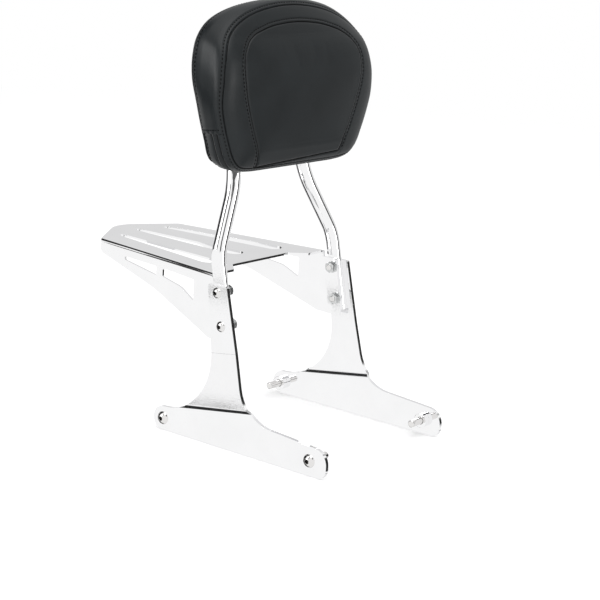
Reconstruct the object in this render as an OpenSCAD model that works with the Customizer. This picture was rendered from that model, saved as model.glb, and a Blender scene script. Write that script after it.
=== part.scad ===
// Sissy bar with side plates, a formed luggage rack and a slip-over backrest pad.
// Millimetres. X runs across the motorcycle, Y points to its rear, Z up.
// The foot edges of the side plates lie on Z = 0 and the middle plane is X = 0.
// Y values below are measured from the front strut screws towards the rear.

/* [Round bar] */
// Diameter of the solid round bar
bar_d = 19; // [15:0.5:25]
// Half distance between the legs at the plates, to the bar's axis
leg_half_gap = 120; // [110:1:125]
// Half distance between the legs inside the pad
pad_leg_half_gap = 70; // [62:1:85]
// Lean of the legs towards the rear, in degrees
leg_lean = 12.5; // [6:0.5:16]
// Length of the straight lower end, up to the first bend
leg_length = 90; // [85:1:105]
// Angle of the two bends that bring the legs together
neck_angle = 29; // [22:1:36]
// Radius of the lower, outer bend
lower_bend_r = 60; // [40:1:70]
// Radius of the upper bend, just under the pad
upper_bend_r = 110; // [70:1:130]
// Radius of the bend that sets the hoop upright
stand_bend_r = 50; // [35:1:70]
// Straight side of the hoop inside the pad
hoop_side = 92; // [70:1:98]
// Radius of the hoop's two top corners
hoop_r = 55; // [35:1:60]
// Thickness left between the two milled flats at the lower ends
tongue_t = 8.5; // [7:0.5:10]
// Height of the inner flat above the feet
inner_flat_top = 217; // [214:1:217]

/* [Side plates] */
// Distance from the middle plane to the plates' outer faces
plate_half_w = 130; // [128:0.5:132]
// Thickness of the side plates
plate_t = 5; // [4:0.5:6]
// Height of the plates above their foot edges
plate_h = 210; // [208:1:214]
// Rear edge of the strip at the top of the plate
strip_rear = 175; // [172:1:178]
// Front edge of the strip at the top of the plate
strip_front = 144.5; // [142:0.5:146]
// Slant of the strip's rear edge, in degrees
rear_edge_slant = 7.3; // [5:0.1:9]
// Slant of the strip's front edge, in degrees
front_edge_slant = 14; // [12:0.5:16]
// Radius of the rear sweep from strip to foot
rear_sweep_r = 78; // [60:1:80]
// Radius of the front sweep from strip to foot
front_sweep_r = 56; // [40:1:70]
// Height of the foot at its front end
foot_h_front = 36.6; // [34:0.2:40]
// Rise of the foot's upper edge from the front end to the front sweep
foot_rise = 8.7; // [4:0.1:12]
// Height of the foot at its rear end
foot_h_rear = 32; // [30:1:34]
// Front end of the foot ahead of the front strut screw
foot_front = 26.5; // [24:0.5:30]
// Upper corner radius of the foot's front end
nose_top_r = 20; // [12:1:22]
// Lower corner radius of the foot's front end
nose_low_r = 13; // [6:1:14]
// Tilt of the bend lines, in degrees
bend_tilt = 9; // [6:0.5:12]
// Height of the upper bend line
bend_h = 146; // [140:1:150]
// Height of the joggle
joggle_h = 75; // [70:1:80]
// Outward lean of the neck between bend line and joggle
neck_out = 3; // [1.5:0.5:4]
// Step inwards at the joggle
joggle_in = 4.5; // [3:0.5:5]
// Height over which the joggle steps
joggle_run = 5; // [4:0.5:7]

/* [Luggage rack] */
// Height of the rack's top face above the feet
rack_top = 221; // [221:0.5:224]
// Thickness of the rack's sheet
sheet_t = 3; // [2:0.5:3.5]
// Outer radius of the rack's folds
fold_r = 5; // [4:0.5:6]
// Y where the tapered flanges start
taper_start = 181; // [179:1:184]
// Y where the folds end at the rear
fold_end = 406; // [380:1:420]
// Half width of the rack at the rear end of the folds
rear_half_w = 83.4; // [76:0.2:92]
// Y of the point where the two rear edges would meet
rear_tip = 458; // [450:1:475]
// Radius of the rounded rear point
rear_tip_r = 45; // [20:1:60]
// Y of the front edge beside the bar
tab_front = 176; // [175.5:0.5:178]
// Half width of the recess in the front edge
recess_half_w = 78; // [60:1:84]
// Y of the recess's floor
recess_front = 195.5; // [190:0.5:205]
// Length of a long slot's straight run
slot_len = 172; // [140:1:180]
// Half width of the slots at their rear end
slot_rear_r = 5; // [3.5:0.5:6]
// Half width of the slots at their front end
slot_front_r = 12; // [9:0.5:13]
// Y of the front end of the middle slot's straight run
mid_slot_front = 241; // [235:1:246]
// Y of the front end of the outer slots' straight run
side_slot_front = 229; // [224:1:236]
// Distance of the outer slots' axes from the middle at the front
side_slot_front_x = 68; // [62:1:72]
// Distance of the outer slots' axes from the middle at the rear
side_slot_rear_x = 45; // [40:1:50]
// Height of the flange's rear end above the feet
flange_rear_z = 202; // [198:1:208]
// Height of the flange's lower edge halfway along
flange_mid_z = 176.6; // [172:0.2:182]
// Y of the bend in the flange's lower edge
flange_mid_y = 292; // [286:1:298]
// Radius of that bend
flange_mid_r = 200; // [120:10:240]
// Height of the flange's lower edge beside the plate
flange_front_z = 135.3; // [130:0.1:138]
// Drop from the rack's top to the upper edge of the flange's windows
window_drop = 14.4; // [13:0.1:16]
// Corner radius of the windows
window_r = 2.2; // [1:0.2:3]
// Front end of the front window
front_window_y = 214; // [211:1:217]
// Length of the front window
front_window_len = 62; // [58:1:64]
// Height of the front window at its front end
front_window_h = 27.5; // [22:0.5:29]
// Height of the front window at its rear end
front_window_end_h = 11; // [8:0.5:12]
// Front end of the rear window
rear_window_y = 289; // [286:1:292]
// Length of the rear window
rear_window_len = 65; // [55:1:68]
// Height of the rear window at its front end
rear_window_h = 12; // [9:0.5:13]
// Height of the rear window at its rear end
rear_window_end_h = 4.9; // [4:0.1:7]

/* [Plate screws] */
// Shank diameter of the plate screws
plate_screw_d = 8; // [6:0.5:9]
// Head diameter of the plate screws
plate_head_d = 14; // [13:0.5:15]
// Head height of the plate screws
plate_head_h = 4.2; // [3.5:0.1:4.5]
// Socket size across flats of the plate screws
plate_socket = 4.8; // [4:0.1:5.5]
// Y of the lower plate screw
screw_y = 150.4; // [149:0.2:152]
// Height of the lower plate screw
screw_z = 158.5; // [157:0.5:160]
// Distance between the two plate screws along the bar
screw_pitch = 43; // [38:1:46]
// Distance from the bar's lower end to the lower plate screw
bar_end = 16; // [13:1:20]
// Thread left proud of the nut
screw_proud = 2; // [1:0.5:4]
// Nut size across flats
nut_flats = 13; // [12:0.5:14]
// Nut height
nut_h = 6.5; // [5:0.5:8]
// Washer outer diameter
washer_d = 16; // [15:0.5:17]
// Washer thickness
washer_t = 1.6; // [1:0.2:2]
// Radial clearance of the screws in their holes
hole_gap = 0.3; // [0.2:0.05:0.5]

/* [Strut screws] */
// Shank diameter of the strut screws
strut_screw_d = 9.5; // [8:0.5:11]
// Head diameter of the strut screws
strut_head_d = 17.5; // [16:0.5:19]
// Head height of the strut screws
strut_head_h = 5.3; // [4.5:0.1:5.5]
// Socket size across flats of the strut screws
strut_socket = 5.6; // [5:0.1:6.5]
// Y distance from the front to the rear strut screw
strut_pitch = 240.5; // [234:0.5:242]
// Height of the front strut screws
strut_front_z = 19.5; // [17:0.5:21]
// Height of the rear strut screws
strut_rear_z = 16; // [15:0.5:18]
// Length of the spacers behind the feet
spacer_len = 8; // [5:0.5:12]
// Outer diameter of the spacers
spacer_d = 19; // [16:0.5:22]
// Free length of the strut screws past the spacers
strut_free = 22; // [16:1:26]
// Diameter of the neck between shank and thread
strut_neck_d = 8; // [6.5:0.1:8.2]
// Length of that neck
strut_neck_len = 1.5; // [1:0.5:3]

/* [Backrest pad] */
// Height of the pad's lower edge above the feet
pad_bottom = 350; // [348:1:356]
// Height of the pad
pad_h = 216; // [208:1:225]
// Greatest width of the pad
pad_w = 311; // [290:1:330]
// Width of the pad's lower edge
pad_low_w = 236; // [220:1:250]
// Y of the pad's front face
pad_front = 139; // [134:1:142]
// Y of the pad's back face
pad_back = 212; // [212:1:218]
// Depth of the crowned front
pad_crown = 24; // [18:1:28]
// Room left round the bar and the board in the pad
pad_gap = 0.3; // [0.2:0.1:0.6]
// Thickness of the pad's stiffening board
board_t = 6; // [4:0.5:9]
// Distance from the pad's outline to the board's edge
board_inset = 33; // [26:1:40]

/* [Hidden] */

chrome = "gainsboro";
zinc = "silver";
vinyl = "dimgray";
plywood = "burlywood";

bar_r = bar_d / 2;
plate_in = plate_half_w - plate_t;
ear_out = plate_in - tongue_t;
ear_in = ear_out - sheet_t;
foot_out = plate_half_w + neck_out - joggle_in;
foot_in = foot_out - plate_t;
strut_face = foot_in - spacer_len;

// The bar's lower end, and a point at a distance along the leaning leg
bar_end_y = screw_y - bar_end * sin(leg_lean);
bar_end_z = screw_z - bar_end * cos(leg_lean);
upper_screw_y = screw_y + screw_pitch * sin(leg_lean);
upper_screw_z = screw_z + screw_pitch * cos(leg_lean);

// The slanted straight between the two neck bends
neck_offset = leg_half_gap - pad_leg_half_gap;
neck_run = (neck_offset - (lower_bend_r + upper_bend_r) * (1 - cos(neck_angle))) / sin(neck_angle);
neck_rise = (lower_bend_r + upper_bend_r) * sin(neck_angle) + neck_run * cos(neck_angle);
hoop_y = bar_end_y + (leg_length + neck_rise) * sin(leg_lean) + stand_bend_r * (1 - cos(leg_lean));

// The rack's taper in plan, and its rounded rear point
taper = atan2(ear_out - rear_half_w, fold_end - taper_start);
fold_len = (fold_end - taper_start) / cos(taper);
tip_slope = atan2(rear_tip - fold_end, rear_half_w);
rack_rear = rear_tip - rear_tip_r * (1 / cos(tip_slope) - 1);

// The part's origin lies midway between its front and rear ends
origin_y = (rack_rear - foot_front) / 2;

// The strip's edges at a height
function strip_rear_at(z) = strip_rear - (plate_h - z) * tan(rear_edge_slant);
function strip_front_at(z) = strip_front - (plate_h - z) * tan(front_edge_slant);

function unit(v) = v / norm(v);
function turn(a) = a > 180 ? a - 360 : a < -180 ? a + 360 : a;

// The arc that rounds corner p, met from point a and left towards point b
function corner(a, p, b, r, steps) =
    let (u = unit(a - p), v = unit(b - p), half = acos(u * v) / 2,
         c = p + unit(u + v) * r / sin(half),
         s = p + u * r / tan(half) - c, e = p + v * r / tan(half) - c,
         from = atan2(s[1], s[0]), sweep = turn(atan2(e[1], e[0]) - from))
    [for (k = [0:steps]) c + r * [cos(from + sweep * k / steps), sin(from + sweep * k / steps)]];

function flat(q) = [q[0], q[1]];

// How far the arc at point i reaches along its two edges
function reach(pts, i) =
    let (n = len(pts), p = flat(pts[i]), u = unit(flat(pts[(i + n - 1) % n]) - p), v = unit(flat(pts[(i + 1) % n]) - p))
    pts[i][2] / tan(acos(u * v) / 2);

// The share of its radius that corner i keeps, so that two arcs never meet on an edge
function share(pts, i) =
    let (n = len(pts), mine = reach(pts, i), before = (i + n - 1) % n, after = (i + 1) % n)
    min(1,
        0.9995 * norm(flat(pts[before] - pts[i])) / (mine + reach(pts, before)),
        0.9995 * norm(flat(pts[after] - pts[i])) / (mine + reach(pts, after)));

// A closed outline from [x, y, corner radius] points
function rounded(pts, steps = 8) =
    [for (i = [0:len(pts) - 1])
        let (n = len(pts), q = pts[i], a = pts[(i + n - 1) % n], b = pts[(i + 1) % n])
        each q[2] == 0 ? [flat(q)] : corner(flat(a), flat(q), flat(b), q[2] * share(pts, i), steps)];

// Right-hand pieces are modelled at +X and mirrored for the other side
module on_side(side) {
    translate([0, -origin_y, 0])
        mirror([side == "right" ? 1 : 0, 0, 0])
            children();
}

// A flat outline in the YZ plane, thickened from x towards +X
module wall(x, t) {
    translate([x, 0, 0])
        rotate([90, 0, 90])
            linear_extrude(t)
                children();
}

// Steps of the bar's path as 4 x 4 matrices: up its axis, about its axis, and round a bend
function up_by(h) = [[1, 0, 0, 0], [0, 1, 0, 0], [0, 0, 1, h], [0, 0, 0, 1]];
function spin(a) = [[cos(a), -sin(a), 0, 0], [sin(a), cos(a), 0, 0], [0, 0, 1, 0], [0, 0, 0, 1]];
function bend(a, r) = [
    [cos(a), 0, sin(a), r * (1 - cos(a))],
    [0, 1, 0, 0],
    [-sin(a), 0, cos(a), r * sin(a)],
    [0, 0, 0, 1]
];

// The rings along rows of [straight length, bend angle, bend radius, direction of the bend]
function rings(rows, m, i = 0) =
    i == len(rows) ? [] :
    let (run = rows[i][0], angle = rows[i][1], r = rows[i][2], way = rows[i][3],
         start = m * up_by(run),
         count = ceil(angle / bend_step))
    concat(
        run > 0 ? [start] : [],
        [for (k = [1:1:count]) start * spin(way) * bend(angle * k / count, r) * spin(-way)],
        rings(rows, start * spin(way) * bend(angle, r) * spin(-way), i + 1)
    );

bend_step = 7.5;
inward = 180;
outward = 0;
forward = -90;

// One leg and half of the hoop's top, from the lower end to the middle plane
leg_foot = [
    [1, 0, 0, leg_half_gap],
    [0, cos(leg_lean), sin(leg_lean), bar_end_y],
    [0, -sin(leg_lean), cos(leg_lean), bar_end_z],
    [0, 0, 0, 1]
];
leg_rings = concat([leg_foot], rings([
    [leg_length, neck_angle, lower_bend_r, inward],
    [neck_run, neck_angle, upper_bend_r, outward],
    [0, leg_lean, stand_bend_r, forward],
    [hoop_side, 90, hoop_r, inward],
    [pad_leg_half_gap - hoop_r, 0, 0, 0]
], leg_foot));

// The bent round bar as one sweep, with its second half mirrored
module hoop(r, sides) {
    half = [for (m = leg_rings)
        [for (k = [0:sides - 1]) let (q = m * [r * cos(360 * k / sides), r * sin(360 * k / sides), 0, 1])
            [q[0], q[1], q[2]]]];
    other = [for (i = [len(half) - 2:-1:0]) [for (q = half[i]) [-q[0], q[1], q[2]]]];
    all = concat(half, other);
    last = len(all) - 1;
    polyhedron(
        points = [for (ring = all) each ring],
        faces = concat(
            [[for (k = [0:sides - 1]) k]],
            [for (i = [0:last - 1], k = [0:sides - 1])
                [i * sides + k, (i + 1) * sides + k,
                 (i + 1) * sides + (k + 1) % sides, i * sides + (k + 1) % sides]],
            [[for (k = [sides - 1:-1:0]) last * sides + k]]
        )
    );
}

// Through holes for the two plate screws, from x over a length
module plate_screw_holes(x, len) {
    for (at = [[screw_y, screw_z], [upper_screw_y, upper_screw_z]])
        translate([x, at[0], at[1]])
            rotate([0, 90, 0])
                cylinder(h = len, d = plate_screw_d + 2 * hole_gap, $fn = 48);
}

module upright_bar() {
    flat_w = 2 * bar_d;
    color(chrome)
        translate([0, -origin_y, 0])
            difference() {
                hoop(bar_r, 28);
                for (m = [0, 1])
                    mirror([m, 0, 0]) {
                        translate([plate_in, bar_end_y - flat_w, 0])
                            cube([flat_w, 4 * flat_w, rack_top + 4 * bar_d]);
                        translate([ear_out - flat_w, bar_end_y - flat_w, 0])
                            cube([flat_w, 4 * flat_w, inner_flat_top]);
                        plate_screw_holes(ear_out - 1, tongue_t + 2);
                    }
            }
}

// The side plate's outline, seen from the side
module plate_outline() {
    foot_rear = strut_pitch + foot_h_rear / 2;
    sweep_z = foot_h_front + foot_rise;
    polygon(rounded([
        [-foot_front, 0, nose_low_r],
        [-foot_front, foot_h_front, nose_top_r],
        [strip_front_at(sweep_z), sweep_z, front_sweep_r],
        [strip_front, plate_h, 2],
        [strip_rear, plate_h, 2],
        [strip_rear_at(foot_h_rear), foot_h_rear, rear_sweep_r],
        [foot_rear, foot_h_rear, foot_h_rear / 2 - 0.01],
        [foot_rear, 0, foot_h_rear / 2 - 0.01]
    ], 10));
}

// The side plate's bent section, running along the tilted bend lines
module plate_section() {
    run = 2 * (rack_rear + foot_front);
    neck_x = plate_half_w + neck_out;
    low_h = joggle_h - joggle_run;
    outer = [
        [foot_out, -plate_h],
        [foot_out, low_h],
        [neck_x, joggle_h],
        [plate_half_w, bend_h],
        [plate_half_w, 2 * plate_h]
    ];
    rotate([-bend_tilt, 0, 0])
        translate([0, run / 2, 0])
            rotate([90, 0, 0])
                linear_extrude(run)
                    polygon(concat(outer,
                        [for (i = [len(outer) - 1:-1:0]) outer[i] - [plate_t, 0]]));
}

module side_plate(side) {
    reach = plate_half_w + neck_out;
    color(chrome)
        on_side(side)
            difference() {
                intersection() {
                    plate_section();
                    wall(0, 2 * reach)
                        plate_outline();
                }
                plate_screw_holes(plate_in - 1, plate_t + 2);
                for (at = [[0, strut_front_z], [strut_pitch, strut_rear_z]])
                    translate([foot_in - 1, at[0], at[1]])
                        rotate([0, 90, 0])
                            cylinder(h = plate_t + 2, d = strut_screw_d + 2 * hole_gap, $fn = 48);
            }
}

// One slot of the rack's top: round at both ends and wider at the front
module long_slot(front_x, rear_x, front_y) {
    front = [front_x, front_y];
    rear = [rear_x, front_y + slot_len];
    heading = atan2(rear[1] - front[1], rear[0] - front[0]);
    reach = acos((slot_front_r - slot_rear_r) / norm(rear - front));
    steps = 12;
    polygon(concat(
        [for (k = [0:steps]) let (a = heading + reach + (360 - 2 * reach) * k / steps)
            front + slot_front_r * [cos(a), sin(a)]],
        [for (k = [0:steps]) let (a = heading - reach + 2 * reach * k / steps)
            rear + slot_rear_r * [cos(a), sin(a)]]
    ));
}

// The rack's edge in plan: recess and tabs at the front, two slanted edges at the rear
module rack_plan() {
    half = [
        [recess_half_w - (recess_front - tab_front), recess_front, 3],
        [recess_half_w, tab_front, 3],
        [ear_out, tab_front, 0],
        [ear_out, rear_tip - ear_out * tan(tip_slope), 0]
    ];
    polygon(rounded(concat(
        half,
        [[0, rear_tip, rear_tip_r]],
        [for (i = [len(half) - 1:-1:0]) [-half[i][0], half[i][1], half[i][2]]]
    )));
}

// The flat between the two folds, longer than the rack at both ends
module flat_top() {
    function reach(y) = ear_out - (y - taper_start) * tan(taper) - 1.5 * fold_r;
    front = tab_front - 2 * fold_r;
    polygon([
        [reach(front), front], [reach(rear_tip), rear_tip],
        [-reach(rear_tip), rear_tip], [-reach(front), front]
    ]);
}

// The flange's side view: Y along the rack, Z up
module flange_outline() {
    polygon(rounded([
        [tab_front - fold_r, rack_top, 0],
        [fold_end + 2 * fold_r, rack_top, 0],
        [fold_end + 2 * fold_r, rack_top - fold_r, 0],
        [fold_end + 1, rack_top - fold_r, 0],
        [fold_end + 1, flange_rear_z + 1, 9],
        [flange_mid_y, flange_mid_z, flange_mid_r],
        [taper_start, flange_front_z, 0],
        [tab_front - fold_r, flange_front_z + taper_start - tab_front + fold_r, 0]
    ]));
}

// The two windows in the flange, with the front one's lower edge bent
module flange_windows() {
    top = rack_top - window_drop;
    knee = [front_window_y + front_window_len * 0.4, top - front_window_h * 0.62];
    polygon(rounded([
        [rear_window_y + rear_window_len, top, window_r],
        [rear_window_y, top, window_r],
        [rear_window_y, top - rear_window_h, window_r * 0.7],
        [rear_window_y + rear_window_len, top - rear_window_end_h, window_r]
    ]));
    polygon(rounded([
        [front_window_y + front_window_len, top, window_r],
        [front_window_y, top - window_r, window_r],
        [front_window_y, top - window_r - front_window_h, window_r / 2],
        [knee[0], knee[1], 14 * window_r],
        [front_window_y + front_window_len, top - front_window_end_h, window_r]
    ]));
}

// The ear that is clamped between the bar and the nuts
module ear_outline() {
    margin = plate_screw_d + 0.5;
    foot = [bar_end_y - margin, bar_end_z - margin];
    top_z = inner_flat_top - 5;
    top_y = foot[0] + (top_z - foot[1]) * tan(leg_lean);
    polygon(rounded([
        [foot[0], foot[1], 6],
        [top_y, top_z, 5],
        [tab_front, top_z, 0],
        [taper_start + sheet_t, top_z, 0],
        [taper_start + sheet_t, flange_front_z + sheet_t, 0],
        [taper_start, flange_front_z, 0]
    ]));
}

// Runs a section along the fold of one side, its outer upper corner on the fold line
module along_fold() {
    translate([ear_out, taper_start, rack_top])
        rotate([90, 0, taper + 180])
            mirror([1, 0, 0])
                translate([0, 0, -2 * bar_d])
                    linear_extrude(fold_len + 4 * bar_d)
                        children();
}

// A folded strip along one side: the edge of the top, the fold and the flange
module folded_side() {
    profile = concat(
        [[-2 * fold_r, 0], [-2 * fold_r, -sheet_t]],
        [for (a = [90:-15:0]) [-fold_r, -fold_r] + (fold_r - sheet_t) * [cos(a), sin(a)]],
        [[-sheet_t, -plate_h], [0, -plate_h]],
        [for (a = [0:15:90]) [-fold_r, -fold_r] + fold_r * [cos(a), sin(a)]]
    );
    along_fold()
        polygon(profile);
}

module luggage_rack() {
    wide = 2 * plate_half_w;
    color(chrome)
        translate([0, -origin_y, 0]) {
            intersection() {
                union() {
                    translate([0, 0, rack_top - sheet_t])
                        linear_extrude(sheet_t)
                            difference() {
                                flat_top();
                                long_slot(0, 0, mid_slot_front);
                                long_slot(side_slot_front_x, side_slot_rear_x, side_slot_front);
                                long_slot(-side_slot_front_x, -side_slot_rear_x, side_slot_front);
                            }
                    for (m = [0, 1])
                        mirror([m, 0, 0])
                            difference() {
                                intersection() {
                                    folded_side();
                                    wall(0, wide)
                                        flange_outline();
                                }
                                wall(0, wide)
                                    flange_windows();
                            }
                }
                linear_extrude(2 * rack_top)
                    rack_plan();
            }
            for (m = [0, 1])
                mirror([m, 0, 0])
                    difference() {
                        intersection() {
                            wall(ear_in, sheet_t)
                                ear_outline();
                            along_fold()
                                translate([-bar_d, -plate_h])
                                    square([bar_d, plate_h]);
                        }
                        plate_screw_holes(ear_in - 1, sheet_t + 2);
                    }
        }
}

// A button-head screw: its head's seat is at the origin and its shank runs to -Z.
// A neck is given as points of the shank's profile.
module button_screw(d, head_d, head_h, socket, len, neck = []) {
    dome = (head_d * head_d / 4 + head_h * head_h) / (2 * head_h);
    rim = asin((head_d / 2) / dome);
    difference() {
        rotate_extrude($fn = 48)
            polygon(concat(
                [[0, -len], [d / 2 - 0.8, -len], [d / 2, -len + 0.8]],
                neck,
                [[d / 2, 0], [head_d / 2, 0]],
                [for (k = [1:6]) [dome * sin(rim * (1 - k / 6)), head_h - dome + dome * cos(rim * (1 - k / 6))]]
            ));
        translate([0, 0, head_h * 0.35])
            cylinder(h = head_h, d = socket / cos(30), $fn = 6);
    }
}

// Puts a piece on a screw's axis, with +Z pointing outwards at distance x from the middle
module at_screw(side, x, y, z) {
    on_side(side)
        translate([x, y, z])
            rotate([0, 90, 0])
                children();
}

module plate_screw(side, y, z) {
    grip = plate_t + tongue_t + sheet_t + washer_t + nut_h + screw_proud;
    color(chrome)
        at_screw(side, plate_half_w, y, z)
            button_screw(plate_screw_d, plate_head_d, plate_head_h, plate_socket, grip);
}

module plate_washer(side, y, z) {
    color(zinc)
        at_screw(side, ear_in - washer_t, y, z)
            difference() {
                cylinder(h = washer_t, d = washer_d, $fn = 48);
                translate([0, 0, -1])
                    cylinder(h = washer_t + 2, d = plate_screw_d + 2 * hole_gap, $fn = 48);
            }
}

module plate_nut(side, y, z) {
    chamfer = nut_flats * 0.09;
    color(zinc)
        at_screw(side, ear_in - washer_t - nut_h, y, z)
            difference() {
                intersection() {
                    cylinder(h = nut_h, d = nut_flats / cos(30), $fn = 6);
                    rotate_extrude($fn = 48)
                        polygon([
                            [0, 0], [nut_flats / 2, 0],
                            [nut_flats / 2 + chamfer, chamfer], [nut_flats / 2 + chamfer, nut_h], [0, nut_h]
                        ]);
                }
                translate([0, 0, -1])
                    cylinder(h = nut_h + 2, d = plate_screw_d + 0.1, $fn = 48);
            }
}

module strut_screw(side, y, z) {
    held = plate_t + spacer_len;
    thread = held + strut_neck_len;
    neck = [
        [strut_screw_d / 2, -thread], [strut_neck_d / 2, -thread],
        [strut_neck_d / 2, -held], [strut_screw_d / 2, -held]
    ];
    color(chrome)
        at_screw(side, foot_out, y, z)
            button_screw(strut_screw_d, strut_head_d, strut_head_h, strut_socket, held + strut_free, neck);
}

module strut_spacer(side, y, z) {
    color(chrome)
        at_screw(side, strut_face, y, z)
            difference() {
                cylinder(h = spacer_len, d = spacer_d, $fn = 48);
                translate([0, 0, -1])
                    cylinder(h = spacer_len + 2, d = strut_screw_d + 2 * hole_gap, $fn = 48);
            }
}

// The pad's outline, seen from the front, with its lower edge on Z = 0
module pad_outline() {
    w = pad_w / 2;
    low = pad_low_w / 2;
    half = [
        [low, 0, pad_h * 0.14],
        [low + (w - low) * 0.8, pad_h * 0.27, pad_h * 0.83],
        [w + 1, pad_h * 0.57, pad_h * 0.74],
        [w * 0.9, pad_h * 0.86, pad_h * 0.3],
        [w * 0.565, pad_h * 0.968, pad_h * 0.65]
    ];
    polygon(rounded(concat(
        half,
        [[0, pad_h, pad_h * 1.39]],
        [for (i = [len(half) - 1:-1:0]) [-half[i][0], half[i][1], half[i][2]]]
    ), 5));
}

// A thin layer of the pad at a depth, pulled in all round and lowered at the top
module pad_layer(y, inset, drop) {
    slice = 0.1;
    translate([0, y + slice, pad_bottom + inset])
        rotate([90, 0, 0])
            linear_extrude(slice)
                scale([1 - 2 * inset / pad_w, 1 - (2 * inset + drop) / pad_h])
                    pad_outline();
}

module pad_cushion() {
    board_y = hoop_y - bar_r - pad_gap - board_t;
    color(vinyl)
        translate([0, -origin_y, 0])
            difference() {
                hull() {
                    pad_layer(pad_front, 40, 38);
                    pad_layer(pad_front + pad_crown * 0.08, 24, 28);
                    pad_layer(pad_front + pad_crown * 0.25, 8, 16);
                    pad_layer(pad_front + pad_crown * 0.55, 1, 8);
                    pad_layer(pad_front + pad_crown, 0, 0);
                    pad_layer(pad_back - 15, 2, 0);
                    pad_layer(pad_back - 6, 6, 0);
                    pad_layer(pad_back - 0.1, 18, 0);
                }
                hoop((bar_r + pad_gap) / cos(180 / 16), 16);
                board_space(board_y, board_t + 2 * pad_gap, board_inset - pad_gap);
            }
}

// The board's outline with a depth, from y towards the rear
module board_space(y, depth, inset) {
    translate([0, y + depth, pad_bottom + inset])
        rotate([90, 0, 0])
            linear_extrude(depth)
                intersection() {
                    translate([-pad_w / 2 + inset, 0])
                        square([pad_w - 2 * inset, pad_h - 2 * inset]);
                    translate([0, -inset])
                        offset(delta = -inset)
                            pad_outline();
                }
}

module pad_board() {
    color(plywood)
        translate([0, -origin_y, 0])
            board_space(hoop_y - bar_r - pad_gap - board_t, board_t, board_inset);
}

upright_bar();
side_plate("left");  // side_plate_left
side_plate("right");  // side_plate_right
luggage_rack();
plate_screw("left", upper_screw_y, upper_screw_z);  // plate_screw_upper_left
plate_screw("left", screw_y, screw_z);  // plate_screw_lower_left
plate_screw("right", upper_screw_y, upper_screw_z);  // plate_screw_upper_right
plate_screw("right", screw_y, screw_z);  // plate_screw_lower_right
plate_washer("left", upper_screw_y, upper_screw_z);  // plate_washer_upper_left
plate_washer("left", screw_y, screw_z);  // plate_washer_lower_left
plate_washer("right", upper_screw_y, upper_screw_z);  // plate_washer_upper_right
plate_washer("right", screw_y, screw_z);  // plate_washer_lower_right
plate_nut("left", upper_screw_y, upper_screw_z);  // plate_nut_upper_left
plate_nut("left", screw_y, screw_z);  // plate_nut_lower_left
plate_nut("right", upper_screw_y, upper_screw_z);  // plate_nut_upper_right
plate_nut("right", screw_y, screw_z);  // plate_nut_lower_right
strut_screw("left", 0, strut_front_z);  // strut_screw_front_left
strut_screw("left", strut_pitch, strut_rear_z);  // strut_screw_rear_left
strut_screw("right", 0, strut_front_z);  // strut_screw_front_right
strut_screw("right", strut_pitch, strut_rear_z);  // strut_screw_rear_right
strut_spacer("left", 0, strut_front_z);  // strut_spacer_front_left
strut_spacer("left", strut_pitch, strut_rear_z);  // strut_spacer_rear_left
strut_spacer("right", 0, strut_front_z);  // strut_spacer_front_right
strut_spacer("right", strut_pitch, strut_rear_z);  // strut_spacer_rear_right
pad_board();
pad_cushion();
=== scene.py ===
"""Sissy bar with side plates, a folded luggage rack and a sewn backrest pad.

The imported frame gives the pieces. The bar is bent and milled again, the plates, the rack and the
fasteners get rounded edges, and the pad is sewn: panels, seams, stitches, hem and slits.
"""
import math

import bpy
import bmesh
import numpy as np
from mathutils import Matrix, Vector
from mathutils.bvhtree import BVHTree
from mathutils.kdtree import KDTree


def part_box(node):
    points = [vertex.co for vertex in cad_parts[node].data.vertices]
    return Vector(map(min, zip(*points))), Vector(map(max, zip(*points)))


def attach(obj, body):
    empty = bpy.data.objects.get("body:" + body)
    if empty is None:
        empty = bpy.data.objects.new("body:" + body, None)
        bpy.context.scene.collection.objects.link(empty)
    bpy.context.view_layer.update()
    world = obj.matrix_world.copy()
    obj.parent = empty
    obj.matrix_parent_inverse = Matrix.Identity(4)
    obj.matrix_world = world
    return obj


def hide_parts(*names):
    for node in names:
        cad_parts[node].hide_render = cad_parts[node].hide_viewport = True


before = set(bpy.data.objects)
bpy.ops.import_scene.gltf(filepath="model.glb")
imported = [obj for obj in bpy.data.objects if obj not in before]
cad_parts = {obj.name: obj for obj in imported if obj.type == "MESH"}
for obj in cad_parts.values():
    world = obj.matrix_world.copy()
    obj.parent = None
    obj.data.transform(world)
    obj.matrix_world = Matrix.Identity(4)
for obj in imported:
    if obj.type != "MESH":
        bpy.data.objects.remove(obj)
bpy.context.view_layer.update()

MM = 0.001
# Part frame: X across, Y to the rear, Z up. Rows below give Y from the front strut screws.
ORIGIN_Y = 211.735


def at(x, y, z):
    """A point given in millimetres, with Y from the front strut screws."""
    return Vector((x * MM, (y - ORIGIN_Y) * MM, z * MM))


# Small helpers

def only(obj):
    """Deselects everything, then selects obj and makes it active."""
    if bpy.context.mode != "OBJECT":
        bpy.ops.object.mode_set(mode="OBJECT")
    bpy.ops.object.select_all(action="DESELECT")
    obj.select_set(True)
    bpy.context.view_layer.objects.active = obj
    return obj


def named(name):
    obj = bpy.context.active_object
    obj.name = name
    obj.data.name = name
    return obj


def settle(obj):
    """Puts the object's place into its mesh."""
    only(obj)
    bpy.ops.object.transform_apply(location=True, rotation=True, scale=True)
    return obj


def finish_piece(obj, material, node=None):
    obj.data.materials.clear()
    obj.data.materials.append(material)
    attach(obj, "root")
    if node:
        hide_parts(node)
    return obj


def smooth_faces(obj):
    obj.data.polygons.foreach_set("use_smooth", [True] * len(obj.data.polygons))


def mesh_piece(name, points, faces):
    me = bpy.data.meshes.new(name)
    me.from_pydata([tuple(p) for p in points], [], faces)
    me.update()
    obj = bpy.data.objects.new(name, me)
    bpy.context.scene.collection.objects.link(obj)
    smooth_faces(obj)
    return obj


# Materials

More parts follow.
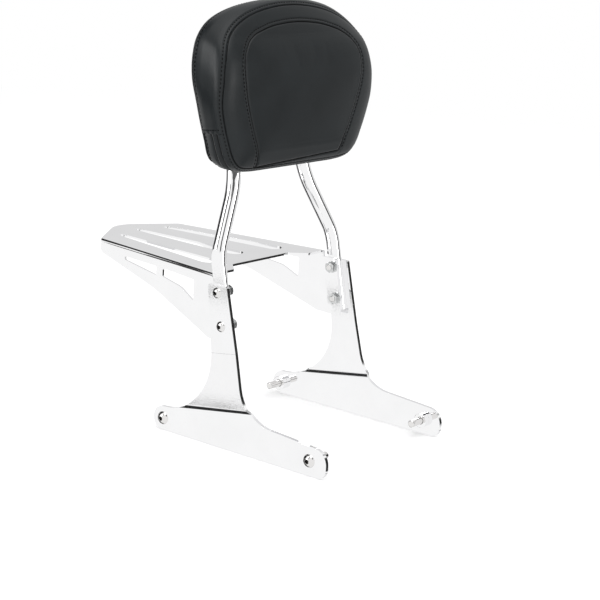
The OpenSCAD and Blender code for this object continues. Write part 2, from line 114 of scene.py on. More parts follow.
def new_material(name):
    mat = bpy.data.materials.new(name)
    mat.use_nodes = True
    nodes = mat.node_tree.nodes
    return mat, nodes, mat.node_tree.links, nodes["Principled BSDF"]


def node(nodes, kind, **values):
    n = nodes.new(kind)
    for key, value in values.items():
        if key in n.inputs:
            n.inputs[key].default_value = value
        else:
            setattr(n, key, value)
    return n


def object_coordinates(nodes):
    return nodes.new("ShaderNodeTexCoord").outputs["Object"]


def vary_roughness(nodes, links, shader, value, low, high):
    """Lets a noise move the roughness between low and high."""
    spread = node(nodes, "ShaderNodeMapRange",
                  **{"From Min": 0.3, "From Max": 0.7, "To Min": low, "To Max": high})
    links.new(value, spread.inputs["Value"])
    links.new(spread.outputs["Result"], shader.inputs["Roughness"])


def shade(nodes, links, shader, value, dark, light, start=0.0, end=1.0):
    """Lets a texture move the base colour between dark and light."""
    ramp = node(nodes, "ShaderNodeValToRGB")
    low, high = ramp.color_ramp.elements
    low.position, high.position = start, end
    low.color, high.color = (*dark, 1), (*light, 1)
    links.new(value, ramp.inputs["Fac"])
    links.new(ramp.outputs["Color"], shader.inputs["Base Color"])


def metal(name, colour, rough_low, rough_high, swirl_scale, swirl):
    """Bright metal: roughness varies in faint clouds, and a fine bump gives the polishing marks."""
    mat, nodes, links, shader = new_material(name)
    where = object_coordinates(nodes)
    clouds = node(nodes, "ShaderNodeTexNoise", Scale=22.0, Detail=4.0, Roughness=0.55)
    marks = node(nodes, "ShaderNodeTexNoise", Scale=swirl_scale, Detail=5.0, Roughness=0.6)
    for texture in (clouds, marks):
        links.new(where, texture.inputs["Vector"])
    vary_roughness(nodes, links, shader, clouds.outputs["Fac"], rough_low, rough_high)
    shade(nodes, links, shader, clouds.outputs["Fac"], [c * 0.975 for c in colour], colour, 0.35, 0.65)
    bump = node(nodes, "ShaderNodeBump", Strength=swirl, Distance=0.0004)
    links.new(marks.outputs["Fac"], bump.inputs["Height"])
    links.new(bump.outputs["Normal"], shader.inputs["Normal"])
    shader.inputs["Metallic"].default_value = 1.0
    return mat


def vinyl_material(name, colour, rough, grain):
    """Smooth black vinyl: a fine pebble grain, soft wrinkles and a faint variation of its sheen."""
    mat, nodes, links, shader = new_material(name)
    where = object_coordinates(nodes)
    pebble = node(nodes, "ShaderNodeTexVoronoi", Scale=900.0)
    pebble.feature = "SMOOTH_F1"
    fine = node(nodes, "ShaderNodeTexNoise", Scale=2200.0, Detail=2.0)
    soft = node(nodes, "ShaderNodeTexNoise", Scale=14.0, Detail=3.0, Roughness=0.5)
    for texture in (pebble, fine, soft):
        links.new(where, texture.inputs["Vector"])
    shade(nodes, links, shader, soft.outputs["Fac"],
          [c * 0.8 for c in colour], [c * 1.2 for c in colour], 0.3, 0.7)
    vary_roughness(nodes, links, shader, soft.outputs["Fac"], rough - 0.04, rough + 0.05)
    shader.inputs["Specular IOR Level"].default_value = 0.33
    low = node(nodes, "ShaderNodeBump", Strength=grain, Distance=0.0003)
    links.new(pebble.outputs["Distance"], low.inputs["Height"])
    high = node(nodes, "ShaderNodeBump", Strength=grain * 0.5, Distance=0.0001)
    links.new(fine.outputs["Fac"], high.inputs["Height"])
    links.new(low.outputs["Normal"], high.inputs["Normal"])
    links.new(high.outputs["Normal"], shader.inputs["Normal"])
    return mat


def thread_and_shade_material():
    """Black bonded thread, with the turns of its twist as a bump. The same black paints the shade in the seam
    grooves, the slits and the folds.
    """
    mat, nodes, links, shader = new_material("black_thread_and_shade")
    twist = node(nodes, "ShaderNodeTexWave", Scale=900.0, Distortion=0.4)
    twist.bands_direction = "DIAGONAL"
    links.new(object_coordinates(nodes), twist.inputs["Vector"])
    bump = node(nodes, "ShaderNodeBump", Strength=0.5, Distance=0.0001)
    links.new(twist.outputs["Fac"], bump.inputs["Height"])
    links.new(bump.outputs["Normal"], shader.inputs["Normal"])
    shade(nodes, links, shader, twist.outputs["Fac"], (0.001, 0.001, 0.001), (0.003, 0.003, 0.003))
    shader.inputs["Roughness"].default_value = 0.7
    shader.inputs["Specular IOR Level"].default_value = 0.15
    return mat


CHROME = metal("chrome_plating", (0.93, 0.93, 0.935), 0.02, 0.05, 380.0, 0.03)
PLATE_CHROME = metal("chrome_plate", (0.93, 0.93, 0.935), 0.03, 0.06, 300.0, 0.02)
SCREW_CHROME = metal("chrome_screw", (0.80, 0.79, 0.78), 0.06, 0.12, 700.0, 0.06)
# Dark steel that paints the shade inside the screws' hexagon sockets
SOCKET_SHADE_STEEL = metal("socket_painted_shade", (0.09, 0.085, 0.08), 0.35, 0.5, 500.0, 0.1)
ZINC = metal("bright_zinc", (0.70, 0.71, 0.71), 0.18, 0.30, 500.0, 0.12)
VINYL = vinyl_material("black_vinyl", (0.0060, 0.0085, 0.0098), 0.38, 0.10)
THREAD_AND_SHADE = thread_and_shade_material()

# The bent round bar

# Sizes in millimetres, those of the solid: section, half distances between the legs at the plates and
# in the pad, bend radii in the order of the bends, the straight foot and the hoop's straight side
BAR_R = 9.5
LEAN, NECK = math.radians(12.5), math.radians(29)
LEG_GAP, PAD_GAP = 120.0, 70.0
LOWER_R, UPPER_R, STAND_R, HOOP_R = 60.0, 110.0, 50.0, 55.0
STRAIGHT, SIDE = 90.0, 92.0
NECK_RUN = (LEG_GAP - PAD_GAP - (LOWER_R + UPPER_R) * (1 - math.cos(NECK))) / math.sin(NECK)
# Y and Z of the lower plate screw, and the bar's end below it
LOW_SCREW, END_BELOW_SCREW = (150.4, 158.5), 16
BAR_END = (LOW_SCREW[0] - END_BELOW_SCREW * math.sin(LEAN), LOW_SCREW[1] - END_BELOW_SCREW * math.cos(LEAN))
# X of the outer and inner flats milled into each foot, and Z where the inner one ends
PLATE_IN, EAR_OUT, FLAT_TOP = 125.0, 116.5, 217.0
# How far the cutting blocks reach: X outwards and inwards, then the low and high ends in Y and Z
CUT_OUTER, CUT_INNER, CUT_Y, CUT_Z = 150, 90, (100, 230), (100, 290)


def bar_steps():
    """Rows of (straight run, bend angle, bend radius, direction of the bend) from one foot to the other."""
    up = [(STRAIGHT, NECK, LOWER_R, "in"), (NECK_RUN, NECK, UPPER_R, "out"),
          (0, LEAN, STAND_R, "forward"), (SIDE, math.pi / 2, HOOP_R, "in")]
    down = [(2 * (PAD_GAP - HOOP_R), math.pi / 2, HOOP_R, "in"), (SIDE, LEAN, STAND_R, "forward"),
            (0, NECK, UPPER_R, "out"), (NECK_RUN, NECK, LOWER_R, "in"), (STRAIGHT, 0, 0, "in")]
    return up + down


def bent_bar():
    """A ring is added at the left foot, then extruded along each straight and spun round each bend."""
    here = at(LEG_GAP, *BAR_END)
    ahead = Vector((0, math.sin(LEAN), math.cos(LEAN)))
    inward = Vector((-1, 0, 0))
    bpy.ops.mesh.primitive_circle_add(vertices=64, radius=BAR_R * MM, location=here, rotation=(-LEAN, 0, 0))
    bar = settle(named("bar_finished"))
    bpy.ops.object.mode_set(mode="EDIT")
    bpy.ops.mesh.select_all(action="SELECT")
    for run, angle, radius, way in bar_steps():
        if run:
            bpy.ops.mesh.extrude_edges_move(TRANSFORM_OT_translate={"value": ahead * run * MM})
            here = here + ahead * run * MM
        if not angle:
            continue
        side = {"in": inward, "out": -inward, "forward": ahead.cross(inward)}[way]
        if way == "forward":
            side = side if side.y < 0 else -side
        centre = here + side * radius * MM
        axis = ahead.cross(side)
        steps = max(6, int(math.degrees(angle) / 3))
        bpy.ops.mesh.spin(steps=steps, angle=-angle, center=centre, axis=axis)
        turn = Matrix.Rotation(angle, 3, axis)
        here = centre + turn @ (here - centre)
        ahead = turn @ ahead
        inward = turn @ inward
    bpy.ops.mesh.select_all(action="SELECT")
    bpy.ops.mesh.remove_doubles(threshold=1e-6)
    bpy.ops.mesh.fill_holes(sides=0)
    bpy.ops.mesh.select_all(action="SELECT")
    bpy.ops.mesh.normals_make_consistent(inside=False)
    bpy.ops.object.mode_set(mode="OBJECT")
    return bar


def cutter(low, high):
    """A block between two corners in millimetres."""
    middle = [(a + b) / 2 for a, b in zip(low, high)]
    size = [(b - a) * MM for a, b in zip(low, high)]
    bpy.ops.mesh.primitive_cube_add(size=1, location=at(*middle), scale=size)
    return settle(bpy.context.active_object)


def cut(obj, tools):
    for tool in tools:
        only(obj)
        mod = obj.modifiers.new("cut", "BOOLEAN")
        mod.operation = "DIFFERENCE"
        mod.solver = "EXACT"
        mod.object = tool
        bpy.ops.object.modifier_apply(modifier=mod.name)
        bpy.data.objects.remove(tool)


def soften(obj, width, angle):
    """Rounds the sharp edges and shades the rest smooth."""
    only(obj)
    mod = obj.modifiers.new("edges", "BEVEL")
    mod.width = width * MM
    mod.segments = 3
    mod.limit_method = "ANGLE"
    mod.angle_limit = math.radians(angle)
    mod.harden_normals = True
    mod.use_clamp_overlap = True
    smooth_faces(obj)
    bpy.ops.object.modifier_apply(modifier=mod.name)


def even_normals(obj):
    """Lets the large flats keep their own normals, so that they mirror as flats do."""
    only(obj)
    mod = obj.modifiers.new("normals", "WEIGHTED_NORMAL")
    mod.weight = 100
    mod.keep_sharp = True
    bpy.ops.object.modifier_apply(modifier=mod.name)


def milled_bar():
    bar = bent_bar()
    tools = []
    for s in (1, -1):
        for flat, reach, top in ((PLATE_IN, CUT_OUTER, CUT_Z[1]), (EAR_OUT, CUT_INNER, FLAT_TOP)):
            x = sorted((s * flat, s * reach))
            tools.append(cutter((x[0], CUT_Y[0], CUT_Z[0]), (x[1], CUT_Y[1], top)))
    cut(bar, tools)
    soften(bar, 0.5, angle=25)
    even_normals(bar)
    return finish_piece(bar, CHROME, "upright_bar")


milled_bar()

# Plates, rack and fasteners

# A bend lies between two faces of at least this area, in square millimetres, that turn by an angle
# between these two
FLAT_AREA, CREASE, CORNER = 40, math.radians(0.8), math.radians(60)


def round_bends(obj, width):
    """Rounds the line where two large flats meet at a bend of the sheet."""
    bpy.ops.object.mode_set(mode="EDIT")
    mesh = bmesh.from_edit_mesh(obj.data)
    for edge in mesh.edges:
        faces = edge.link_faces
        large = len(faces) == 2 and all(f.calc_area() > FLAT_AREA * MM * MM for f in faces)
        edge.select = large and CREASE < faces[0].normal.angle(faces[1].normal) < CORNER
    bmesh.update_edit_mesh(obj.data)
    bpy.ops.mesh.bevel(offset=width * MM, segments=5, affect="EDGES")
    bpy.ops.object.mode_set(mode="OBJECT")


def finished_copy(node_name, material, slot, width, bend=0):
    """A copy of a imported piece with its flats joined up, its edges rounded and clean normals."""
    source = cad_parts[node_name]
    obj = source.copy()
    obj.data = source.data.copy()
    obj.parent = None
    bpy.context.scene.collection.objects.link(obj)
    only(obj)
    named(node_name + "_finished")
    bpy.ops.object.mode_set(mode="EDIT")
    bpy.ops.mesh.select_mode(type="EDGE")
    bpy.ops.mesh.select_all(action="SELECT")
    bpy.ops.mesh.remove_doubles(threshold=1e-6)
    bpy.ops.mesh.dissolve_limited(angle_limit=math.radians(0.4))
    bpy.ops.mesh.select_all(action="SELECT")
    bpy.ops.mesh.normals_make_consistent(inside=False)
    bpy.ops.mesh.select_all(action="DESELECT")
    bpy.ops.object.mode_set(mode="OBJECT")
    if bend:
        round_bends(obj, bend)
    soften(obj, width, angle=30)
    even_normals(obj)
    return finish_piece(obj, material, node_name)


def paint_socket_shade(obj, node_name, socket, head_h):
    """Gives the inside of a screw's hexagon socket a dark steel, which paints the shade in the recess."""
    low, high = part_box(node_name)
    middle = [(a + b) / 2 for a, b in zip(low, high)]
    obj.data.materials.append(SOCKET_SHADE_STEEL)
    side = 1 if middle[0] > 0 else -1
    outer = high[0] if side > 0 else -low[0]
    for face in obj.data.polygons:
        off = math.hypot(face.center.y - middle[1], face.center.z - middle[2])
        depth = outer - side * face.center.x
        if off < socket * 0.6 * MM and 0.3 * MM < depth < head_h * MM:
            face.material_index = 1


# For each kind of piece: its material, its slot and the width of its rounded edges
FINISHES = {
    "side_plate": (PLATE_CHROME, "chrome", 0.5),
    "luggage_rack": (PLATE_CHROME, "chrome", 0.4),
    "plate_screw": (SCREW_CHROME, "chrome", 0.25),
    "strut_screw": (SCREW_CHROME, "chrome", 0.25),
    "strut_spacer": (CHROME, "chrome", 0.4),
    "plate_nut": (ZINC, "zinc", 0.2),
    "plate_washer": (ZINC, "zinc", 0.2),
}
# Width of the side plates' rounded bends, and the sockets' size across flats with the heads' height
BENDS = {"side_plate": 1.4}
SOCKETS = {"plate_screw": (4.8, 4.2), "strut_screw": (5.6, 5.3)}

for name in list(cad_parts):
    for kind, finish in FINISHES.items():
        if name.startswith(kind):
            piece = finished_copy(name, *finish, bend=BENDS.get(kind, 0))
            if kind in SOCKETS:
                paint_socket_shade(piece, name, *SOCKETS[kind])

# The pad's form

# Half of the pad's widest outline, from the lower middle to the top: X and Z in millimetres
OUTLINE = [(0, 350), (45, 350), (84, 350.5), (108, 354), (121, 365), (130, 385), (140, 410), (148.5, 438),
           (153.2, 465), (152.6, 492), (144.5, 519), (125, 541), (93, 555), (50, 562.5), (0, 565)]
AROUND, PAD_MIDDLE_Y, PAD_MIDDLE_Z = 400, 178, 448.0


def between(p0, p1, p2, p3, t):
    """The point at t on the smooth curve from p1 to p2, with p0 before and p3 after them."""
    return 0.5 * ((2 * p1) + (p2 - p0) * t + (2 * p0 - 5 * p1 + 4 * p2 - p3) * t * t
                  + (3 * p1 - p0 - 3 * p2 + p3) * t ** 3)


def smooth_loop(half, count):
    """A closed loop of evenly spaced points through a mirrored half outline."""
    loop = half[:-1] + [(-x, z) for x, z in half[:0:-1]]
    pts = np.array(loop, float)
    n = len(pts)
    fine = np.array([between(*(pts[(i + k) % n] for k in (-1, 0, 1, 2)), t)
                     for i in range(n) for t in np.linspace(0, 1, 24, endpoint=False)])
    ring = np.vstack([fine, fine[:1]])
    along = np.concatenate([[0], np.cumsum(np.linalg.norm(np.diff(ring, axis=0), axis=1))])
    wanted = np.linspace(0, along[-1], count, endpoint=False)
    return np.stack([np.interp(wanted, along, ring[:, k]) for k in (0, 1)], axis=1)


def ease(t):
    """A soft step from 0 to 1."""
    t = np.clip(t, 0, 1)
    return t * t * (3 - 2 * t)


# Rows of (distance in from the widest outline, Y) from the front seam over the gusset to the flat back
FRONT_SEAM, REAR_SEAM = (7.0, 147.0), (3.5, 200.5)
PROFILE = [(150, 137.5), (110, 137.6), (80, 137.9), (60, 138.3), (45, 138.9), (32, 139.9), (22, 141.2),
           (14, 143.2), (9.5, 145.2), FRONT_SEAM, (4.2, 149.6), (1.8, 153.5), (0.4, 160), (0, 170),
           (0, 182), (0.8, 192),
           REAR_SEAM, (7.5, 206), (14, 209.8), (24, 211.4), (45, 211.9), (80, 212.0), (150, 212.0)]
# Distances of the stitch rows from the front, rear and insert seams, along the surface
FRONT_ROW, REAR_ROW, INSERT_ROW = 5.0, -5.0, 4.0
# Depth and half width of the grooves of the seams and of the channels under the stitch rows
SEAM_GROOVE, ROW_CHANNEL = (1.5, 0.75), (0.6, 1.1)
# Distances of the extra rings beside a seam
BESIDE_SEAM = np.concatenate([[0.4, 0.8, 1.3, 1.9, 2.6], np.arange(3.3, 7.3, 0.7)])


def dent(off, shape):
    """Depth of a soft-edged groove at a distance off its middle. Its shape is (depth, half width)."""
    return shape[0] * np.exp(-(off / shape[1]) ** 2)


def profile_points():
    """The profile as a smooth run of points, closer near edges and seams, and each point's depth of seam."""
    pts = np.array(PROFILE, float)
    along = np.concatenate([[0], np.cumsum(np.linalg.norm(np.diff(pts, axis=0), axis=1))])
    marks = [along[PROFILE.index(FRONT_SEAM)], along[PROFILE.index(REAR_SEAM)]]
    front, rear = marks
    s = np.concatenate([np.arange(0, 90, 3.0), np.arange(90, front, 1.0), np.arange(front, rear, 1.1),
                        np.arange(rear, rear + 45, 1.6), np.arange(rear + 45, along[-1], 5.0)])
    for m in marks:
        s = s[np.abs(s - m) > 7.4]
        s = np.concatenate([s, [m], m + BESIDE_SEAM, m - BESIDE_SEAM])
    s = np.sort(np.append(s, along[-1]))
    dense = np.stack([hermite(along, pts[:, k], s) for k in (0, 1)], axis=1)
    depth = sum(dent(s - m, SEAM_GROOVE) for m in marks)
    depth += sum(dent(s - m, ROW_CHANNEL) for m in (front + FRONT_ROW, rear + REAR_ROW))
    return dense, depth, s, marks


def hermite(x, y, xs):
    """A monotone cubic through (x, y), read at xs."""
    d = np.diff(y) / np.diff(x)
    m = np.zeros_like(y)
    m[0], m[-1] = d[0], d[-1]
    for i in range(1, len(y) - 1):
        m[i] = 0 if d[i - 1] * d[i] <= 0 else 2 * d[i - 1] * d[i] / (d[i - 1] + d[i])
    i = np.clip(np.searchsorted(x, xs) - 1, 0, len(x) - 2)
    h = x[i + 1] - x[i]
    t = (xs - x[i]) / h
    return ((1 + 2 * t) * (1 - t) ** 2 * y[i] + t * (1 - t) ** 2 * h * m[i]
            + t * t * (3 - 2 * t) * y[i + 1] + t * t * (t - 1) * h * m[i + 1])


# Share of the width by which the pad's front and rear seams flare, at a few heights
FLARE_Z = np.array([350, 385, 430, 470, 505, 525, 565.0])
FRONT_FLARE = np.array([0.05, 0.105, 0.097, 0.045, 0.005, -0.01, -0.03])
REAR_FLARE = np.array([-0.03, -0.05, -0.04, 0.0, 0.02, 0.03, 0.045])
# How far the upper front leans back, in millimetres, at a few heights
BACK_Z = np.array([300, 462, 490, 505, 524, 545, 572, 600.0])
BACK = np.array([0, 0, 3.5, 8, 17, 24, 29, 30.0])
# How far the top comes down, all along and at the front corners, from these heights up
TOP_DROP, CORNER_DROP, TOP_FROM, CORNER_FROM, DROP_RUN, CORNER_X = 2.5, 8, 500, 495, 60, 140


def pad_rings(count):
    """Rings of the pad from the front middle to the back middle, as (X, Y, Z) rows in millimetres."""
    outline = smooth_loop(OUTLINE, count)
    profile, depth, along, marks = profile_points()
    middle = np.array([0.0, PAD_MIDDLE_Z])
    forward = np.roll(outline, -1, axis=0) - np.roll(outline, 1, axis=0)
    out = np.stack([forward[:, 1], -forward[:, 0]], axis=1)
    out /= np.linalg.norm(out, axis=1)[:, None]
    if np.mean(np.sum(out * (outline - middle), axis=1)) < 0:
        out = -out
    rings = []
    for inset, y in profile:
        # Near the edge a ring keeps its distance from the outline, and further in it shrinks to the middle
        near = outline - out * inset
        far = middle + (outline - middle) * max(0.0, 1 - inset / PROFILE[0][0])
        w = ease((inset - 8) / 40)
        flat = near * (1 - w) + far * w
        # The sides flare forwards at the bottom and rearwards at the top
        side = np.interp(y, (FRONT_SEAM[1], REAR_SEAM[1]), (1, 0))
        height = np.clip(flat[:, 1], FLARE_Z[0], FLARE_Z[-1])
        flare = (hermite(FLARE_Z, FRONT_FLARE, height) * side
                 + hermite(FLARE_Z, REAR_FLARE, height) * (1 - side))
        drop = CORNER_DROP * ease((flat[:, 1] - CORNER_FROM) / DROP_RUN) * (flat[:, 0] / CORNER_X) ** 2 * side
        drop = drop + TOP_DROP * ease((flat[:, 1] - TOP_FROM) / DROP_RUN)
        flat = np.stack([flat[:, 0] * (1 + flare), flat[:, 1] - drop], axis=1)
        # The upper front leans back
        fade = ease((200 - y) / 60)
        back = hermite(BACK_Z, BACK, flat[:, 1]) * fade
        rings.append(np.stack([flat[:, 0], y + back, flat[:, 1]], axis=1))
    return np.array(rings), depth, along, marks


def ring_normals(rings):
    """The way out at each point of the rings."""
    around = np.roll(rings, -1, axis=1) - np.roll(rings, 1, axis=1)
    down = np.gradient(rings, axis=0)
    out = np.cross(down, around)
    size = np.linalg.norm(out, axis=2, keepdims=True)
    out = np.where(size > 1e-9, out / np.maximum(size, 1e-9), 0)
    middle = np.array([0, PAD_MIDDLE_Y, PAD_MIDDLE_Z])
    if np.mean(np.sum(out * (rings - middle), axis=2)) < 0:
        out = -out
    return out


def ring_mesh(name, rings):
    """A closed mesh through the rings."""
    count = rings.shape[1]
    points = [at(*p) for ring in rings for p in ring]
    faces = []
    for first in range(0, (len(rings) - 1) * count, count):
        for j in range(count):
            k = (j + 1) % count
            faces.append((first + j, first + k, first + count + k, first + count + j))
    obj = mesh_piece(name, points, faces)
    only(obj)
    bpy.ops.object.mode_set(mode="EDIT")
    bpy.ops.mesh.select_all(action="SELECT")
    bpy.ops.mesh.remove_doubles(threshold=1e-5)
    bpy.ops.mesh.fill_holes(sides=0)
    bpy.ops.mesh.select_all(action="SELECT")
    bpy.ops.mesh.normals_make_consistent(inside=False)
    bpy.ops.object.mode_set(mode="OBJECT")
    smooth_faces(obj)
    return obj


# The insert's seam, from the lower right over the top to the lower left: X and Z in millimetres
INSERT_HALF = [(84, 357), (86.5, 368), (90, 383), (101, 408), (111, 433), (117.8, 455), (120.7, 478),
               (117.5, 497), (106, 512), (91, 521), (76, 526), (45, 532.5), (0, 535.5)]


def catmull(pts, step):
    """A smooth open curve through the points, sampled about every step."""
    pts = np.array(pts, float)
    ends = np.vstack([2 * pts[0] - pts[1], pts, 2 * pts[-1] - pts[-2]])
    fine = []
    for i in range(len(pts) - 1):
        n = max(2, int(np.linalg.norm(pts[i + 1] - pts[i]) / step))
        fine.extend(between(*ends[i:i + 4], t) for t in np.linspace(0, 1, n, endpoint=False))
    return np.array(fine + [pts[-1]])


INSERT = catmull(INSERT_HALF + [(-x, z) for x, z in INSERT_HALF[-2::-1]], 0.5)
# The insert's lower edge runs askew, as in the photograph: it is higher on the far side
INSERT[:, 1] += ease((400 - INSERT[:, 1]) / 45) * (5 + 4 * INSERT[:, 0] / INSERT_HALF[0][0])
BOTTOM_SEAM = np.linspace(INSERT[-1], INSERT[0], 340)[1:-1]
# Z of the gusset's hem, the distance of its stitches above it, and Y of the slit and the fold below it
SLIT_TOP, HEM, SLIT_Y, FOLD_Y = 401.0, 4.0, 165.0, 178.0
# Y range of the gusset, and (depth, half width) of what is sewn into it and into the front
GUSSET_Y = (148.5, 203)
INSERT_GROOVE, INSERT_CHANNEL = (1.4, 0.9), (0.5, 1.1)
HEM_ROLL, HEM_CHANNEL, HEM_STEP = (1.5, 7), (0.8, 1.6), 1.4
SLIT, FOLD = (7.0, 2.2), (3.0, 1.5)
# Rolls of vinyl behind and before the slit, with their distance from it
REAR_ROLL, FRONT_ROLL = (6, (1.6, 3.0)), (-6, (1.0, 4.0))
# Where the legs go in, and radius, depth and soft edge of the mouths for them
LEG_X, LEG_Y = 70.0, 196.6
MOUTH_R, MOUTH_DEPTH, MOUTH_EDGE = 12.2, 16, 1.8


def tree_of(points):
    tree = KDTree(len(points))
    for i, p in enumerate(points):
        tree.insert(p, i)
    tree.balance()
    return tree


def hem_height(y):
    """The gusset's hem rises a little towards the front."""
    return SLIT_TOP + 0.16 * (178 - y)


def outside_insert(x, z):
    """True on the border's side of the insert's seam."""
    half = INSERT[:len(INSERT) // 2]
    return z > INSERT[:, 1].max() or abs(x) > np.interp(z, half[:, 1], half[:, 0])


def gusset_push(y, z):
    """How far the hem, the slit and the fold press the gusset in at Y and Z."""
    inside = min(1, (y - GUSSET_Y[0]) / 3) * min(1, (GUSSET_Y[1] - y) / 3)
    above = z - hem_height(y)
    if above > 0:
        return (dent(above - HEM, HEM_CHANNEL) - dent(above, HEM_ROLL)) * inside
    push = HEM_STEP + dent(y - SLIT_Y, SLIT) + dent(y - FOLD_Y, FOLD)
    for off, roll in (REAR_ROLL, FRONT_ROLL):
        push -= dent(y - SLIT_Y - off, roll)
    return push * min(1, -above / 1.2) * inside


def sewn_shape(rings, normals, depth):
    """Works the seams, the slit in the gusset and the mouths for the legs into the rings."""
    out = rings - normals * depth[:, None, None]
    seam = tree_of([(x, 0, z) for x, z in np.vstack([INSERT, BOTTOM_SEAM])])
    for i in range(len(rings)):
        for j in range(rings.shape[1]):
            x, y, z = rings[i, j]
            push = 0.0
            if normals[i, j, 1] < -0.3:
                near, k, d = seam.find((x, 0, z))
                push = dent(d, INSERT_GROOVE)
                if k < len(INSERT) and outside_insert(x, z):
                    push += dent(d - INSERT_ROW, INSERT_CHANNEL)
            elif abs(normals[i, j, 0]) > 0.25 and GUSSET_Y[0] < y < GUSSET_Y[1] and abs(x) > 85:
                push = gusset_push(y, z)
            out[i, j] -= normals[i, j] * push
            r = math.hypot(abs(x) - LEG_X, y - LEG_Y)
            if z < 375 and r < MOUTH_R:
                out[i, j, 2] += MOUTH_DEPTH * (1 - ease((r - MOUTH_R + MOUTH_EDGE) / MOUTH_EDGE))
    return out


# The Cloth step: size of the remesh, reach of the hold round a seam and the largest move, in metres,
# the pressure, the last frame and the share of the move that is used
VOXEL, HOLD_REACH, LARGEST_MOVE = 0.006, 0.009, 0.006
PRESSURE, LAST_FRAME, MOVE_SHARE = 4, 20, 0.5


def puffed(rings, normals, along, marks):
    """Blows the panels up between their seams with Cloth, and returns how far each ring point moves."""
    body = ring_mesh("pad_form", rings[::3, ::4] - normals[::3, ::4] * 1.0)
    only(body)
    body.data.remesh_voxel_size = VOXEL
    bpy.ops.object.voxel_remesh()
    seams = [rings[int(np.argmin(np.abs(along - m)))] for m in marks]
    held = tree_of([at(*p) for ring in seams for p in ring[::2]] + [
        at(x, rings[:, :, 1].min() + 2, z) for x, z in INSERT[::6]])
    before = [v.co.copy() for v in body.data.vertices]
    group = body.vertex_groups.new(name="sewn")
    for v in body.data.vertices:
        d = held.find(v.co)[2]
        if d < HOLD_REACH:
            group.add([v.index], 1.0 - d / HOLD_REACH * 0.6, "REPLACE")
    cloth = body.modifiers.new("cloth", "CLOTH")
    cloth.settings.use_pressure = True
    cloth.settings.uniform_pressure_force = PRESSURE
    cloth.settings.vertex_group_mass = "sewn"
    cloth.settings.effector_weights.gravity = 0
    for f in range(1, LAST_FRAME + 1):
        bpy.context.scene.frame_set(f)
    bpy.context.view_layer.update()
    grown = body.evaluated_get(bpy.context.evaluated_depsgraph_get()).data
    moved = []
    for a, v in zip(before, grown.vertices):
        d = v.co - a
        moved.append(d if d.length < LARGEST_MOVE else d.normalized() * LARGEST_MOVE)
    tree = tree_of(before)
    only(body)
    bpy.context.scene.frame_set(1)
    bpy.data.objects.remove(body)
    field = np.zeros_like(rings)
    for i in range(len(rings)):
        for j in range(rings.shape[1]):
            total, weight = Vector((0, 0, 0)), 0.0
            for co, k, d in tree.find_n(at(*rings[i, j]), 6):
                w = 1 / (d + 0.001) ** 2
                total += moved[k] * w
                weight += w
            field[i, j] = total / weight / MM
    return field


pad_shape, pad_depth, pad_along, pad_marks = pad_rings(AROUND)
swell = puffed(pad_shape, ring_normals(pad_shape), pad_along, pad_marks)
pad_shape = pad_shape + swell * MOVE_SHARE
pad = ring_mesh("pad_finished", sewn_shape(pad_shape, ring_normals(pad_shape), pad_depth))
finish_piece(pad, VINYL, "pad_cushion")


# Thread, seams and dark lines of painted shade

def thread_path(name, points, radius, closed=False):
    """A thin round line along points in metres."""
    curve = bpy.data.curves.new(name, "CURVE")
    curve.dimensions = "3D"
    curve.bevel_depth = radius * MM
    curve.bevel_resolution = 1
    spline = curve.splines.new("POLY")
    spline.points.add(len(points) - 1)
    for q, p in zip(spline.points, points):
        q.co = (*p, 1)
    spline.use_cyclic_u = closed
    obj = bpy.data.objects.new(name, curve)
    bpy.context.scene.collection.objects.link(obj)
    only(obj)
    bpy.ops.object.convert(target="MESH")
    obj = bpy.context.active_object
    smooth_faces(obj)
    return obj


SURFACE = BVHTree.FromObject(pad, bpy.context.evaluated_depsgraph_get())
# Radius of a stitch and its share of length, width and height, its bow, its lift off the vinyl and
# the distance from one stitch to the next
STITCH_R, STITCH_SHARES, STITCH_BOW, STITCH_LIFT, STITCH_PITCH = 0.75, (2.3, 1.0, 0.8), 30, 0.12, 5.0
# Radii of the black lines in the outer seams and in the insert's, which stand in for the thread and paint the
# shade in the seam grooves, of the mouths' hems and of the dark strips that paint the shade in the slits and
# folds
SEAM_R, INSERT_SEAM_R, MOUTH_HEM_R, SLIT_SHADE_R, FOLD_SHADE_R = 0.45, 0.7, 1.4, 2.2, 0.9


def front_point(x, z):
    """The point of the pad's front at X and Z, with its normal."""
    return SURFACE.ray_cast(at(x, 60, z), Vector((0, 1, 0)))[:2]


def side_point(s, y, z):
    """The point of the pad's side at Y and Z, with its normal. The side is 1 for +X and -1 for -X."""
    return SURFACE.ray_cast(at(s * 220, y, z), Vector((-s, 0, 0)))[:2]


def stitch():
    """One stitch: a short rounded bar of thread, along +X, its ends turned down into the vinyl."""
    bpy.ops.mesh.primitive_uv_sphere_add(segments=6, ring_count=6, radius=STITCH_R * MM)
    obj = settle(named("stitch"))
    bpy.ops.object.mode_set(mode="EDIT")
    bpy.ops.mesh.select_all(action="SELECT")
    bpy.ops.transform.resize(value=STITCH_SHARES, center_override=(0, 0, 0))
    bpy.ops.object.mode_set(mode="OBJECT")
    for v in obj.data.vertices:
        v.co.z -= STITCH_BOW * v.co.x ** 2
    return obj


